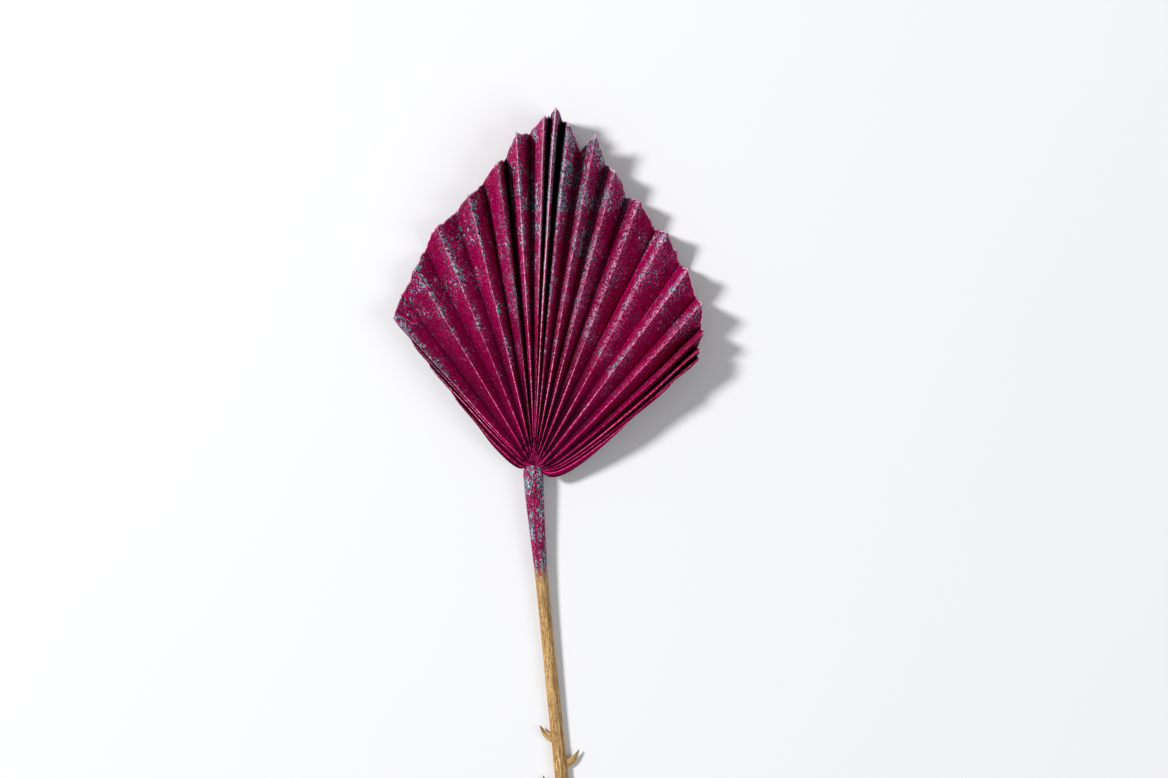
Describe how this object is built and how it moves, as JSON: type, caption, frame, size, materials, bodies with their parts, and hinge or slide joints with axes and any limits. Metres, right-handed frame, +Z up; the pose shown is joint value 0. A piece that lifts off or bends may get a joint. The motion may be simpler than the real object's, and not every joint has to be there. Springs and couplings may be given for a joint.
{
  "type": "fan palm leaf",
  "caption": "Dried, painted fan palm leaf: a pleated blade trimmed to a pointed fan, on a keeled petiole with toothed margins, lying flat.",
  "frame": {"origin": "on the table surface, below the middle of the leaf's bounding box", "axes": "+Z up, out of the leaf's upper face; +Y from the cut end of the petiole towards the blade's tip; +X to the right seen from above"},
  "size_m": [0.1706, 0.4386, 0.0279],
  "materials": {
    "painted_blade": "matte magenta paint with teal speckle over dry leaf",
    "dry_stalk": "dry straw-coloured fibre, painted magenta at its upper end"
  },
  "bodies": {
    "root": {"blade": "painted_blade", "petiole": "dry_stalk"}
  },
  "joints": []
}
